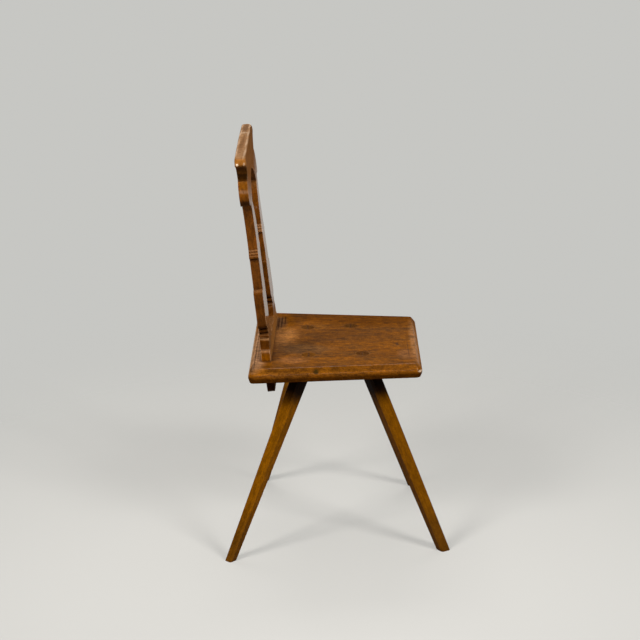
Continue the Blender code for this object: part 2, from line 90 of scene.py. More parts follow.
def connect(tree, node, inputs):
    # links sockets, sets plain values, and keeps the node to the right of all that feeds it
    for key, value in inputs.items():
        if isinstance(value, bpy.types.NodeSocket):
            tree.links.new(value, node.inputs[key])
            node.location.x = max(node.location.x, value.node.location.x + nodeStep["across"])
        else:
            node.inputs[key].default_value = value


def addNode(tree, kind, inputs=None, **settings):
    node = tree.nodes.new(kind)
    for key, value in settings.items():
        setattr(node, key, value)
    connect(tree, node, inputs or {})
    inColumn = sum(other.location.x == node.location.x for other in tree.nodes)
    node.location.y = -nodeStep["down"] * inColumn
    return node


def maths(tree, operation, *values):
    return addNode(tree, "ShaderNodeMath", dict(enumerate(values)), operation=operation).outputs[0]


def vectorMaths(tree, operation, *values):
    node = addNode(tree, "ShaderNodeVectorMath", dict(enumerate(values)), operation=operation)
    return node.outputs["Value" if operation in ("LENGTH", "DOT_PRODUCT") else "Vector"]


def ramp(tree, value, span=(0, 1), result=(0, 1), soft=False):
    # the span, from its first end to its second, is stretched onto the result and held beyond it
    return addNode(tree, "ShaderNodeMapRange", {
        "Value": value, "From Min": span[0], "From Max": span[1], "To Min": result[0], "To Max": result[1],
    }, interpolation_type="SMOOTHSTEP" if soft else "LINEAR").outputs["Result"]


def solid(colour):
    return (*colour, 1)


def blend(tree, share, first, second, way="MIX"):
    return addNode(tree, "ShaderNodeMix", {"Factor": share, "A": first, "B": second},
                   data_type="RGBA", blend_type=way).outputs["Result"]


# studio: soft lamps high on both sides, a faint wide one behind the camera, and a pale surround
studioLook = {
    "aim": Vector((0, 0, 0.42)),
    "lamps": {
        "lampRear": {"place": (-1.9, 1.9, 2.4), "size": (0.9, 0.9), "power": 72, "tint": (1.0, 0.97, 0.93)},
        "lampFront": {"place": (-1.9, -1.9, 2.4), "size": (0.9, 0.9), "power": 72, "tint": (1.0, 0.98, 0.95)},
        "lampWide": {"place": (-3.6, 0.0, 2.5), "size": (3.2, 0.25), "power": 26, "tint": (1.0, 0.98, 0.95)},
        "lampBack": {"place": (1.5, 0.2, 3.1), "size": (1.6, 0.9), "power": 24, "tint": (1.0, 0.98, 0.95)},
    },
    "floorRadius": 2.6, "floorSides": 96,
    "floorFade": (0.4, 1.82),  # metres from the middle between which the floor fades out
    "floorRough": 0.85, "floorSpecular": 0.2,
    "floorColour": (0.36, 0.355, 0.342),
    "floorGlow": (0.31, 0.31, 0.297),
    "floorBounce": (0.20, 0.165, 0.14),  # the floor's colour in the light that it throws on the chair
    "horizon": (0.03, 0.2),  # the surround is pale below the first height and dim above the second
    "surround": (0.57, 0.57, 0.547),
    "ceiling": (0.09, 0.087, 0.083),
    "dim": (0.11, 0.107, 0.102),  # the surround in the light that falls on the chair
}


def seenDirectly(tree):
    # one for what the camera, a gloss or glass sees, and zero for the light that falls on the chair
    ray = addNode(tree, "ShaderNodeLightPath")
    seen = ray.outputs["Is Camera Ray"]
    for label in ("Is Glossy Ray", "Is Transmission Ray"):
        seen = maths(tree, "MAXIMUM", seen, ray.outputs[label])
    return seen


def addLamps(look):
    for name, lamp in look["lamps"].items():
        bpy.ops.object.light_add(type="AREA", location=lamp["place"])
        light = bpy.context.object
        light.name = name
        light.rotation_euler = (look["aim"] - Vector(lamp["place"])).to_track_quat("-Z", "Y").to_euler()
        light.data.shape = "RECTANGLE"
        light.data.size, light.data.size_y = lamp["size"]
        light.data.energy = lamp["power"]
        light.data.color = lamp["tint"]


def addSurround(look):
    scene = bpy.context.scene
    scene.view_settings.view_transform = "Standard"
    scene.world = bpy.data.worlds.new("studio")
    scene.world.use_nodes = True
    tree = scene.world.node_tree
    tree.nodes.clear()
    coords = addNode(tree, "ShaderNodeTexCoord")
    height = addNode(tree, "ShaderNodeSeparateXYZ", {0: coords.outputs["Generated"]})
    fade = ramp(tree, height.outputs["Z"], look["horizon"], soft=True)
    shown = blend(tree, fade, solid(look["surround"]), solid(look["ceiling"]))
    colour = blend(tree, seenDirectly(tree), solid(look["dim"]), shown)
    glow = addNode(tree, "ShaderNodeBackground", {"Color": colour})
    addNode(tree, "ShaderNodeOutputWorld", {"Surface": glow.outputs[0]})


def newMaterial(name):
    material = bpy.data.materials.new(name)
    material.use_nodes = True
    return material, material.node_tree


def setSurface(tree, inputs):
    shader = tree.nodes["Principled BSDF"]
    connect(tree, shader, inputs)
    connect(tree, tree.nodes["Material Output"], {"Surface": shader.outputs[0]})


def addFloor(look):
    bpy.ops.mesh.primitive_circle_add(
        vertices=look["floorSides"], radius=look["floorRadius"], fill_type="NGON")
    floor = bpy.context.object
    floor.name = "studioFloor"
    material, tree = newMaterial("paleFloor")
    coords = addNode(tree, "ShaderNodeTexCoord")
    reach = vectorMaths(tree, "LENGTH", coords.outputs["Object"])
    setSurface(tree, {
        "Base Color": blend(tree, seenDirectly(tree), solid(look["floorBounce"]), solid(look["floorColour"])),
        "Emission Color": blend(tree, seenDirectly(tree), (0, 0, 0, 1), solid(look["floorGlow"])),
        "Emission Strength": 1.0,
        "Alpha": ramp(tree, reach, look["floorFade"], (1, 0), soft=True),
        "Roughness": look["floorRough"],
        "Specular IOR Level": look["floorSpecular"],
    })
    floor.data.materials.append(material)


addLamps(studioLook)
addSurround(studioLook)
addFloor(studioLook)
print("camera and studio made")


# the shared effects, each a node group that the woods use with their own values
def newGroup(name, inputs, outputs):
    group = bpy.data.node_groups.new(name, "ShaderNodeTree")
    for label, value in inputs.items():
        kind = "NodeSocketFloat" if isinstance(value, float) else "NodeSocketVector"
        group.interface.new_socket(name=label, in_out="INPUT", socket_type=kind).default_value = value
    for label in outputs:
        group.interface.new_socket(name=label, in_out="OUTPUT", socket_type="NodeSocketFloat")
    return group, addNode(group, "NodeGroupInput").outputs


grainLook = {
    # how often each noise repeats in a metre along and across the grain, its detail and its roughness
    "noises": {
        "Wander": (2.2, 11.0, 2.5, 0.5),
        "Wave": (7.0, 60.0, 2.0, 0.5),
        "Strength": (3.0, 45.0, 1.0, 0.5),
        "Fibre": (9.0, 520.0, 3.0, 0.6),
        "Pore": (45.0, 330.0, 2.0, 0.5),
        "Mottle": (58.0, 98.0, 4.0, 0.64),
        "Tone": (2.5, 9.0, 2.0, 0.5),
        "Streak": (20.0, 150.0, 3.0, 0.6),
        "Speck": (260.0, 520.0, 2.0, 0.6),
        "Cloud": (13.0, 27.0, 3.0, 0.6),
    },
    "waveReach": 0.0016,  # metres that the small waves push a ring
    "ringRise": (0.25, 0.86),  # shares of a ring over which it darkens,
    "ringFall": (0.88, 1.0),  # and over which it ends
    "poreShows": (0.56, 0.66),  # the span of the noise over which a pore comes in
}


def makeGrain(look):
    # the grain runs along X of the given vector, and the heart of the tree is its X axis
    group, given = newGroup(
        "sawnGrain", {"Vector": (0, 0, 0), "Ring Width": 0.004, "Wander": 0.006, "Tilt": 0.03},
        ("Ring", "Fibre", "Pore", "Mottle", "Tone", "Streak", "Speck", "Cloud"))

    def noise(label):
        along, across, detail, rough = look["noises"][label]
        place = vectorMaths(group, "MULTIPLY", given["Vector"], (along, across, across))
        return addNode(group, "ShaderNodeTexNoise", {
            "Vector": place, "Scale": 1.0, "Detail": detail, "Roughness": rough}, label=label).outputs["Fac"]

    parts = addNode(group, "ShaderNodeSeparateXYZ", {0: given["Vector"]}).outputs
    height = maths(group, "MULTIPLY_ADD", parts["X"], given["Tilt"], parts["Z"])
    across = addNode(group, "ShaderNodeCombineXYZ", {"X": parts["Y"], "Y": height})
    radius = vectorMaths(group, "LENGTH", across.outputs[0])
    radius = maths(group, "ADD", radius, maths(group, "MULTIPLY", noise("Wander"), given["Wander"]))
    radius = maths(group, "ADD", radius, maths(group, "MULTIPLY", noise("Wave"), look["waveReach"]))
    phase = maths(group, "FRACT", maths(group, "DIVIDE", radius, given["Ring Width"]))
    rise = ramp(group, phase, look["ringRise"], soft=True)
    fall = ramp(group, phase, look["ringFall"], (1, 0), soft=True)
    ring = maths(group, "MULTIPLY", maths(group, "MULTIPLY", rise, fall), noise("Strength"))
    results = {label: noise(label) for label in ("Fibre", "Mottle", "Tone", "Streak", "Speck", "Cloud")}
    results["Ring"] = ring
    results["Pore"] = ramp(group, noise("Pore"), look["poreShows"], soft=True)
    addNode(group, "NodeGroupOutput", results)
    return group


wearLook = {
    "samples": 8,
    "bare": (0.99, 0.86),  # agreement of the rounded and the true normal, from whole finish to bare wood
    "patchScale": 38.0, "patchDetail": 3.0, "patchShows": (0.38, 0.62),
    "dirt": (0.92, 0.45),  # openness of a corner, from clean to full of wax
}


def makeWear(look):
    # worn arrises and the dark wax that gathers in corners
    group, given = newGroup(
        "handWear", {"Vector": (0, 0, 0), "Arris": 0.003, "Corner": 0.012}, ("Edge", "Crevice"))
    rounded = addNode(group, "ShaderNodeBevel", {"Radius": given["Arris"]}, samples=look["samples"])
    surface = addNode(group, "ShaderNodeNewGeometry")
    agree = vectorMaths(group, "DOT_PRODUCT", rounded.outputs[0], surface.outputs["Normal"])
    patch = addNode(group, "ShaderNodeTexNoise", {
        "Vector": given["Vector"], "Scale": look["patchScale"], "Detail": look["patchDetail"]})
    broken = ramp(group, patch.outputs["Fac"], look["patchShows"])
    edge = maths(group, "MULTIPLY", ramp(group, agree, look["bare"]), broken)
    shade = addNode(group, "ShaderNodeAmbientOcclusion", {
        "Distance": given["Corner"]}, samples=look["samples"])
    dirt = ramp(group, shade.outputs["AO"], look["dirt"])
    edge = maths(group, "MULTIPLY", edge, maths(group, "SUBTRACT", 1.0, dirt))
    addNode(group, "NodeGroupOutput", {"Edge": edge, "Crevice": dirt})
    return group


markLook = {
    "tornScale": 1.8, "tornDetail": 4.0,
    "fade": (1.15, 0.55),  # shares of its reach between which a mark comes in
}


def makeMark(look):
    # a soft-edged mark at one place, one inside and zero outside
    group, given = newGroup("softMark", {
        "Vector": (0, 0, 0), "Centre": (0, 0, 0), "Reach": (0.05, 0.05, 0.05), "Ragged": 0.35}, ("Mask",))
    away = vectorMaths(group, "SUBTRACT", given["Vector"], given["Centre"])
    scaled = vectorMaths(group, "DIVIDE", away, given["Reach"])
    torn = addNode(group, "ShaderNodeTexNoise", {
        "Vector": scaled, "Scale": look["tornScale"], "Detail": look["tornDetail"]})
    shift = maths(group, "MULTIPLY", torn.outputs["Fac"], given["Ragged"])
    far = maths(group, "ADD", vectorMaths(group, "LENGTH", scaled), shift)
    addNode(group, "NodeGroupOutput", {"Mask": ramp(group, far, look["fade"], soft=True)})
    return group


grainGroup = makeGrain(grainLook)
markGroup = makeMark(markLook)
wearGroup = makeWear(wearLook)

# what all the woods share; each Shows is the span of a noise or an angle over which its effect comes in
finishLook = {
    "deepShows": (0.3, 1.0), "ringGain": 1.8, "hazeShows": (0.42, 0.68),
    "inwardsShows": (0.3, 0.75), "inwardsShare": 0.6,
    "endShows": (0.6, 0.95),
    "figureShows": (0.34, 0.66),
    "swingShows": (0.3, 0.7), "roughSwing": (-0.05, 0.06), "thinWax": 0.85,
    "creviceRough": 0.2, "dullRough": 0.3,  # how much rougher the wood is there
    "polishedShows": (0.85, 0.97),
    "bloomRough": 0.3,
    "swellScale": 22.0, "swellDetail": 2.0,  # low swellings left by the plane
    "fibreRise": 0.10, "poreDepth": -0.12, "reliefDepth": 0.001,
}


def facing(tree, coords, direction):
    return vectorMaths(tree, "DOT_PRODUCT", coords["Normal"], direction)


def softMark(centre, reach, share, colour=None, ragged=0.35):
    # where a mark lies, how far it goes each way, how much it covers, and how torn its rim is
    return {"centre": centre, "reach": reach, "share": share, "colour": colour, "ragged": ragged}


def markMask(tree, coords, label, mark):
    return addNode(tree, "ShaderNodeGroup", {
        "Vector": coords["Object"], "Centre": mark["centre"], "Reach": mark["reach"],
        "Ragged": mark["ragged"],
    }, node_tree=markGroup, label=label).outputs["Mask"]


def bareColour(tree, coords, grain, wood):
    # pale and deep wood, its rings and clouds, its unrubbed sides and its ends, one laid over the other
    pale, deep, dark = (solid(wood[key]) for key in ("pale", "deep", "dark"))
    colour = blend(tree, ramp(tree, grain["Tone"], finishLook["deepShows"]), pale, deep)
    rings = ramp(tree, grain["Ring"], result=(0, wood["ringShare"] * finishLook["ringGain"]))
    colour = blend(tree, rings, colour, dark)
    clouds = ramp(tree, grain["Cloud"], finishLook["hazeShows"], (0, wood["haze"]), soft=True)
    colour = blend(tree, clouds, colour, solid(wood["hazeColour"]))
    if "shadedSide" in wood:
        # painted shade: the sides turned inwards are darkened as if they were out of the light
        inwards = ramp(tree, facing(tree, coords, wood["shadedSide"]), finishLook["inwardsShows"],
                       (0, finishLook["inwardsShare"]), soft=True)
        colour = blend(tree, inwards, colour, dark)
    # end grain drinks more wax
    ends = maths(tree, "ABSOLUTE", facing(tree, coords, wood["along"]))
    ends = ramp(tree, ends, finishLook["endShows"], (0, wood["endShare"]), soft=True)
    return blend(tree, ends, colour, solid(wood["endColour"]))


def markedColour(tree, coords, colour, marks):
    for label, mark in marks.items():
        share = ramp(tree, markMask(tree, coords, label, mark), result=(0, mark["share"]))
        colour = blend(tree, share, colour, solid(mark["colour"]))
    return colour


def usedColour(tree, grain, wear, colour, wood):
    # the fine figure, then pores, wax in the corners and bare wood on the arrises
    figure = 1.0
    for label in ("Mottle", "Fibre", "Streak", "Speck"):
        amount = wood[label.lower()]
        figure = maths(tree, "MULTIPLY", ramp(
            tree, grain[label], finishLook["figureShows"], (1 - amount, 1 + amount)), figure)
    colour = blend(tree, 1.0, colour, figure, "MULTIPLY")
    for mask, share, tone in ((grain["Pore"], "pore", "dark"), (wear["Crevice"], "crevice", "dark"),
                              (wear["Edge"], "edge", "worn")):
        colour = blend(tree, ramp(tree, mask, result=(0, wood[share])), colour, solid(wood[tone]))
    return colour


def waxedSurface(tree, coords, grain, wear, wood, dull):
    # roughness and the weight of the wax, less on dull marks and off the polished side
    rough = ramp(tree, grain["Mottle"], finishLook["swingShows"],
                 tuple(wood["rough"] + swing for swing in finishLook["roughSwing"]))
    rough = maths(tree, "ADD", rough, ramp(tree, wear["Crevice"], result=(0, finishLook["creviceRough"])))
    shine = ramp(tree, grain["Tone"], finishLook["swingShows"],
                 (wood["wax"] * finishLook["thinWax"], wood["wax"]))
    for label, mark in dull.items():
        mask = markMask(tree, coords, label, mark)
        shine = maths(tree, "MULTIPLY", shine, ramp(tree, mask, result=(1, 1 - mark["share"])))
        rougher = ramp(tree, mask, result=(0, finishLook["dullRough"] * mark["share"]))
        rough = maths(tree, "ADD", rough, rougher)
    if "polished" in wood:
        front = facing(tree, coords, wood["polished"])
        front = ramp(tree, front, finishLook["polishedShows"], (wood["waxElsewhere"], 1))
        shine = maths(tree, "MULTIPLY", shine, front)
    return rough, shine


def relief(tree, coords, grain, wood):
    swell = addNode(tree, "ShaderNodeTexNoise", {
        "Vector": coords["Object"], "Scale": finishLook["swellScale"], "Detail": finishLook["swellDetail"]})
    height = maths(tree, "MULTIPLY", grain["Fibre"], finishLook["fibreRise"])
    height = maths(tree, "ADD", height, maths(tree, "MULTIPLY", grain["Pore"], finishLook["poreDepth"]))
    height = maths(tree, "ADD", height, maths(tree, "MULTIPLY", swell.outputs["Fac"], wood["swell"]))
    return addNode(tree, "ShaderNodeBump", {
        "Height": height, "Strength": 1.0, "Distance": finishLook["reliefDepth"]}).outputs[0]


def woodMaterial(name, wood, marks=None, dull=None):
    material, tree = newMaterial(name)
    coords = addNode(tree, "ShaderNodeTexCoord").outputs
    # the wood is turned so that its grain lies along X
    turn = Vector(wood["along"]).normalized().rotation_difference(Vector((1, 0, 0))).to_euler()
    lay = addNode(tree, "ShaderNodeMapping", {
        "Vector": coords["Object"], "Location": wood["heart"], "Rotation": tuple(turn)})
    grain = addNode(tree, "ShaderNodeGroup", {
        "Vector": lay.outputs[0], "Ring Width": wood["ring"], "Wander": wood["wander"], "Tilt": wood["tilt"],
    }, node_tree=grainGroup).outputs
    wear = addNode(tree, "ShaderNodeGroup", {"Vector": coords["Object"]}, node_tree=wearGroup).outputs
    colour = markedColour(tree, coords, bareColour(tree, coords, grain, wood), marks or {})
    rough, shine = waxedSurface(tree, coords, grain, wear, wood, dull or {})
    surface = {
        "Base Color": usedColour(tree, grain, wear, colour, wood),
        "Roughness": rough,
        "Specular IOR Level": wood["specular"],
        "Coat Weight": shine,
        "Coat Roughness": wood["waxRough"],
        "Normal": relief(tree, coords, grain, wood),
    }
    if "bloom" in wood:
        # old wax blooms where the wood is seen at a glancing angle
        surface["Sheen Weight"] = wood["bloom"]
        surface["Sheen Roughness"] = finishLook["bloomRough"]
        surface["Sheen Tint"] = solid(wood["bloomColour"])
    setSurface(tree, surface)
    return material


# how the pieces are worked, in metres and degrees
workLook = {
    "mergeReach": 0.00002,
    "flatEnough": 0.9,  # how far a face's normal points up or down where it counts as flat
    "bevelAngle": 28,
    "smoothAngle": 40,
}


def camelName(nodeName):
    first, *others = nodeName.split("_")
    return first + "".join(word.capitalize() for word in others)


def makeActive(piece):
    bpy.ops.object.select_all(action="DESELECT")
    piece.select_set(True)
    bpy.context.view_layer.objects.active = piece


def copyOf(nodeName, pieceName):
    node = nodes[nodeName]
    piece = node.copy()
    piece.data = node.data.copy()
    piece.name = piece.data.name = pieceName
    piece.parent = None
    piece.matrix_world = Matrix.Identity(4)
    bpy.context.collection.objects.link(piece)
    makeActive(piece)
    bpy.ops.object.mode_set(mode="EDIT")
    bpy.ops.mesh.select_all(action="SELECT")
    bpy.ops.mesh.remove_doubles(threshold=workLook["mergeReach"])
    bpy.ops.object.mode_set(mode="OBJECT")
    piece.data.materials.clear()
    return piece


def pick(piece, kind, test):
    # in edit mode, selects what passes the test and nothing else
    bpy.ops.mesh.select_mode(type=kind)
    bpy.ops.mesh.select_all(action="DESELECT")
    shape = bmesh.from_edit_mesh(piece.data)
    for part in {"VERT": shape.verts, "EDGE": shape.edges, "FACE": shape.faces}[kind]:
        part.select_set(bool(test(part)))
    shape.select_flush_mode()
    bmesh.update_edit_mesh(piece.data)


def level(edge, height):
    return all(abs(vert.co.z - height) < levelSlack for vert in edge.verts)


def upright(edge):
    return not level(edge, edge.verts[0].co.z)


def settle(piece):
    # gives the object its place in its mesh
    makeActive(piece)
    bpy.ops.object.transform_apply(location=True, rotation=True, scale=True)


def cutWith(piece, cutters):
    for cutter in cutters:
        hole = piece.modifiers.new("hole", "BOOLEAN")
        hole.operation = "DIFFERENCE"
        hole.solver = "EXACT"
        hole.object = cutter
        bpy.context.view_layer.objects.active = piece
        bpy.ops.object.modifier_apply(modifier=hole.name)
        bpy.data.objects.remove(cutter)


def smoothOver(piece, angle):
    makeActive(piece)
    bpy.ops.object.shade_smooth_by_angle(angle=math.radians(angle))
    weigh = piece.modifiers.new("flatFaces", "WEIGHTED_NORMAL")
    weigh.keep_sharp = True
    bpy.ops.object.modifier_apply(modifier=weigh.name)


def easeArrises(piece, width, rounds):
    bevel = piece.modifiers.new("easedArrises", "BEVEL")
    bevel.limit_method = "ANGLE"
    bevel.angle_limit = math.radians(workLook["bevelAngle"])
    bevel.width = width
    bevel.segments = rounds
    bevel.use_clamp_overlap = True
    bpy.ops.object.modifier_apply(modifier=bevel.name)
    smoothOver(piece, workLook["smoothAngle"])


def finishPiece(piece, material, nodeName):
    piece.data.materials.append(material)
    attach(piece, "root")
    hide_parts(nodeName)


# the seat, one plank with its grain running front to back
seatLook = {
    "corners": ((-0.19535, -0.17956), (0.17965, -0.18256), (0.21565, 0.19244), (-0.23935, 0.19244)),
    "cornerRound": 0.0135, "cornerRounds": 10,
    # how far each hand-cut bevel goes in and up or down, and how its arrises are softened
    "topBevel": {"reach": 0.010, "drop": 0.013, "arris": 0.0026, "lowerArris": 0.0030, "rounds": 4},
    "underBevel": {"reach": 0.0035, "drop": 0.010, "arris": 0.0014, "rounds": 3},
    "mortises": ((-0.12226, 0.15317), (0.08773, 0.15134)),
    "mortiseSize": (0.0610, 0.0203, 0.12),
    "mortiseTurn": (-6.4, 0, -0.5),
    # the radius at the top, how much it grows for each metre down, and half the length of the cutter
    "legHoles": {"radius": 0.01445, "flare": 0.0210, "reach": 0.04, "sides": 64},
    "smoothAngle": 35,
    "wood": {
        # the way of the grain and the place of the tree's heart, then the width of a growth ring,
        # how far the rings wander, and their tilt to the grain
        "along": (0, 1, 0), "heart": (0, 0.05, -0.33),
        "ring": 0.0065, "wander": 0.03, "tilt": 0.035,
        "pale": (0.25, 0.081, 0.003), "deep": (0.160, 0.049, 0.002), "dark": (0.050, 0.015, 0.003),
        "haze": 0.68, "hazeColour": (0.125, 0.048, 0.008),
        "endColour": (0.25, 0.098, 0.018), "worn": (0.42, 0.21, 0.08),
        # the strength of each pattern, of dark ends, dirt and bare arrises, and of the wax
        "ringShare": 0.12, "mottle": 0.38, "fibre": 0.10, "streak": 0.10, "speck": 0.30, "pore": 0.5,
        "endShare": 0.5, "crevice": 0.8, "edge": 0.3, "rough": 0.55, "specular": 0.02,
        "wax": 0.4, "waxRough": 0.13, "swell": 0.5,
    },
    "dull": {
        "underHalf": softMark((0, 0, 0.418), (1, 1, 0.02), 1.0),
        "frontEnd": softMark((-0.02, -0.182, 0.436), (0.6, 0.018, 0.02), 0.85),
        "rearEnd": softMark((-0.02, 0.192, 0.436), (0.6, 0.018, 0.02), 1.0),
        "farSide": softMark((0.17, -0.06, seatTop), (0.12, 0.30, 0.02), 0.6),
        "byFarStile": softMark((0.12, 0.13, seatTop), (0.10, 0.04, 0.02), 0.9),
    },
    "marks": {
        "greyRear": softMark((-0.085, 0.078, seatTop), (0.05, 0.085, 0.02), 0.6, (0.15, 0.075, 0.026)),
        "orangeRear": softMark((0.018, 0.135, seatTop), (0.105, 0.056, 0.02), 0.72, (0.46, 0.19, 0.045)),
        "darkFarSide": softMark((0.17, -0.06, seatTop), (0.11, 0.24, 0.03), 0.6, (0.125, 0.035, 0.0004)),
        # painted sheen: a pale patch near the rear
        "paleRearRight": softMark((-0.165, 0.100, seatTop), (0.033, 0.045, 0.01), 0.45, (0.34, 0.135, 0.04)),
        "darkFrontRight": softMark((-0.177, -0.128, seatTop), (0.02, 0.06, 0.01), 0.5, (0.15, 0.05, 0.005)),
        # painted sheen: a pale patch near the front
        "paleFrontRight": softMark((-0.12, -0.150, seatTop), (0.05, 0.03, 0.01), 0.4, (0.28, 0.125, 0.05)),
        "orangeByFarLeg": softMark((0.083, 0.045, seatTop), (0.03, 0.022, 0.01), 0.45, (0.32, 0.115, 0.01)),
        "darkMiddle": softMark((0.02, -0.05, seatTop), (0.09, 0.13, 0.02), 0.35, (0.115, 0.038, 0.004), 0.6),
        "darkStreak": softMark((-0.02, 0.025, seatTop), (0.03, 0.07, 0.02), 0.48, (0.11, 0.040, 0.008), 0.8),
        "ringFigure": softMark(
            (-0.121, 0.0655, seatTop), (0.040, 0.032, 0.01), 0.65, (0.060, 0.026, 0.008), 0.15),
        "ringHeart": softMark(
            (-0.128, 0.0655, seatTop), (0.034, 0.025, 0.01), 0.9, (0.21, 0.072, 0.006), 0.15),
        # the dark rounds of the other three leg tenons
        **{camelName(name) + "Round": softMark(
            tuple(legEnds[name][0]), (0.0225, 0.0225, 0.01), 0.55, (0.075, 0.029, 0.007), 0.2)
           for name in legNames[1:]},
        "dent": softMark((-0.048, -0.1306, seatTop), (0.016, 0.005, 0.01), 0.7, (0.06, 0.03, 0.015)),
        "scoredLine": softMark((-0.083, -0.1535, seatTop), (0.1, 0.0013, 0.01), 0.6, (0.06, 0.03, 0.015)),
        # painted highlight along the front bevel
        "paleFrontEnd": softMark((-0.03, -0.172, seatTop), (0.22, 0.016, 0.014), 0.55, (0.42, 0.20, 0.075)),
        # the rear end grain, paler, with a painted reflection along its rounding
        "paleRearEnd": softMark(
            (-0.12, 0.186, 0.447), (0.30, 0.036, 0.016), 0.85, (0.47, 0.245, 0.115), 0.25),
        # painted shadow of the far stile's foot on the seat
        "greyByFarStile": softMark((0.116, 0.141, seatTop), (0.075, 0.028, 0.02), 0.6, (0.13, 0.075, 0.042)),
        # painted shade along the near edge: on its bevel, and on its lower part, which faces down
        "darkNearBevel": softMark((-0.215, 0.0, 0.4395), (0.04, 0.6, 0.0075), 0.85, (0.115, 0.037, 0.0003)),
        "darkNearFront": softMark((-0.198, -0.10, 0.441), (0.022, 0.10, 0.012), 0.4, (0.135, 0.044, 0.003)),
        "darkNearEdge": softMark(
            (-0.229, 0.09, 0.4315), (0.02, 0.06, 0.0045), 0.5, (0.085, 0.028, 0.002), 0.2),
        "orangeRearCorner": softMark(
            (-0.231, 0.166, 0.439), (0.022, 0.024, 0.012), 0.18, (0.33, 0.115, 0.003)),
        # painted shade on the lower edge and the underside of the plank
        "darkUnderHalf": softMark((0.0, 0.0, 0.415), (1.0, 1.0, 0.019), 0.9, (0.055, 0.016, 0.0005)),
        # painted shadow of the far stile's foot, as fine dark lines beside it
        **{f"fineStileShadow{number}": softMark(
            (x, y, seatTop), (reach, 0.0026, 0.01), share, (0.028, 0.011, 0.003), 0.5)
           for number, (x, y, reach, share) in enumerate((
               (0.115, 0.1385, 0.075, 0.85), (0.125, 0.1315, 0.070, 0.85), (0.135, 0.1240, 0.060, 0.75)))},
        "endLineRear": softMark((-0.13, 0.1815, 0.442), (0.13, 0.0014, 0.01), 0.65, (0.09, 0.034, 0.010)),
        "endLineFront": softMark((-0.12, 0.1750, seatTop), (0.11, 0.0012, 0.01), 0.5, (0.09, 0.034, 0.010)),
        # painted highlights along the lower rear and front arrises and on the near front corner
        "wornRearArris": softMark((-0.05, 0.1915, 0.4335), (0.28, 0.004, 0.007), 0.75, (0.60, 0.40, 0.25)),
        "wornFrontArris": softMark((-0.02, -0.1825, 0.4315), (0.6, 0.005, 0.004), 0.7, (0.55, 0.36, 0.22)),
        "wornFrontCorner": softMark(
            (-0.1945, -0.1785, 0.4290), (0.0095, 0.0095, 0.0038), 0.9, (0.85, 0.62, 0.42), 0.1),
        "knot": softMark(
            (-0.219, 0.0485, 0.4355), (0.014, 0.0075, 0.0075), 0.95, (0.040, 0.020, 0.001), 0.25),
    },
}


def makeBlank(look, low, high):
    # a plain block between two heights, its corners moved to the plank's and rounded
    half = 0.5
    bpy.ops.object.select_all(action="DESELECT")
    bpy.ops.mesh.primitive_cube_add(
        size=2 * half, location=(0, 0, (high + low) / 2), scale=(1, 1, high - low))
    blank = bpy.context.object
    blank.name = blank.data.name = "seatPlank"
    settle(blank)
    bpy.ops.object.mode_set(mode="EDIT")
    for corner in look["corners"]:
        start = Vector([math.copysign(half, place) for place in corner])
        pick(blank, "VERT", lambda vert: (vert.co.xy - start).length < levelSlack)
        bpy.ops.transform.translate(value=(*(Vector(corner) - start), 0))
    pick(blank, "EDGE", upright)
    bpy.ops.mesh.bevel(offset=look["cornerRound"], segments=look["cornerRounds"], affect="EDGES")
    bpy.ops.object.mode_set(mode="OBJECT")
    return blank


def seatCutters(look):
    cutters = []
    for x, y in look["mortises"]:
        bpy.ops.mesh.primitive_cube_add(
            size=1, location=(x, y, (seatTop + seatUnder) / 2), scale=look["mortiseSize"],
            rotation=[math.radians(turn) for turn in look["mortiseTurn"]])
        cutters.append(bpy.context.object)
    holes = look["legHoles"]
    widening = holes["flare"] * holes["reach"]
    for head, foot in legEnds.values():
        bpy.ops.mesh.primitive_cone_add(
            vertices=holes["sides"], radius1=holes["radius"] + widening, radius2=holes["radius"] - widening,
            depth=2 * holes["reach"], location=head,
            rotation=(head - foot).to_track_quat("Z", "Y").to_euler())
        cutters.append(bpy.context.object)
    return cutters


def makeSeat(look):
    above, below = look["topBevel"], look["underBevel"]
    high, low = seatTop - above["drop"], seatUnder + below["drop"]
    seat = makeBlank(look, low, high)
    bpy.ops.object.mode_set(mode="EDIT")
    # both faces drawn in and pushed out make the hand-cut bevels round the plank
    for side, bevel in ((1, above), (-1, below)):
        pick(seat, "FACE", lambda face: face.normal.z * side > workLook["flatEnough"])
        bpy.ops.mesh.inset(thickness=bevel["reach"], depth=bevel["drop"], use_even_offset=True)
    for height, width, rounds in (
            (seatTop, above["arris"], above["rounds"]), (high, above["lowerArris"], above["rounds"]),
            (low, below["arris"], below["rounds"]), (seatUnder, below["arris"], below["rounds"])):
        pick(seat, "EDGE", lambda edge: level(edge, height))
        bpy.ops.mesh.bevel(offset=width, segments=rounds, affect="EDGES")
    bpy.ops.object.mode_set(mode="OBJECT")
    cutWith(seat, seatCutters(look))
    smoothOver(seat, look["smoothAngle"])
    return seat


seat = makeSeat(seatLook)
seatWood = woodMaterial("seatPlankWood", seatLook["wood"], seatLook["marks"], seatLook["dull"])
finishPiece(seat, seatWood, "seat")
print("seat made,", len(seat.data.polygons), "faces")

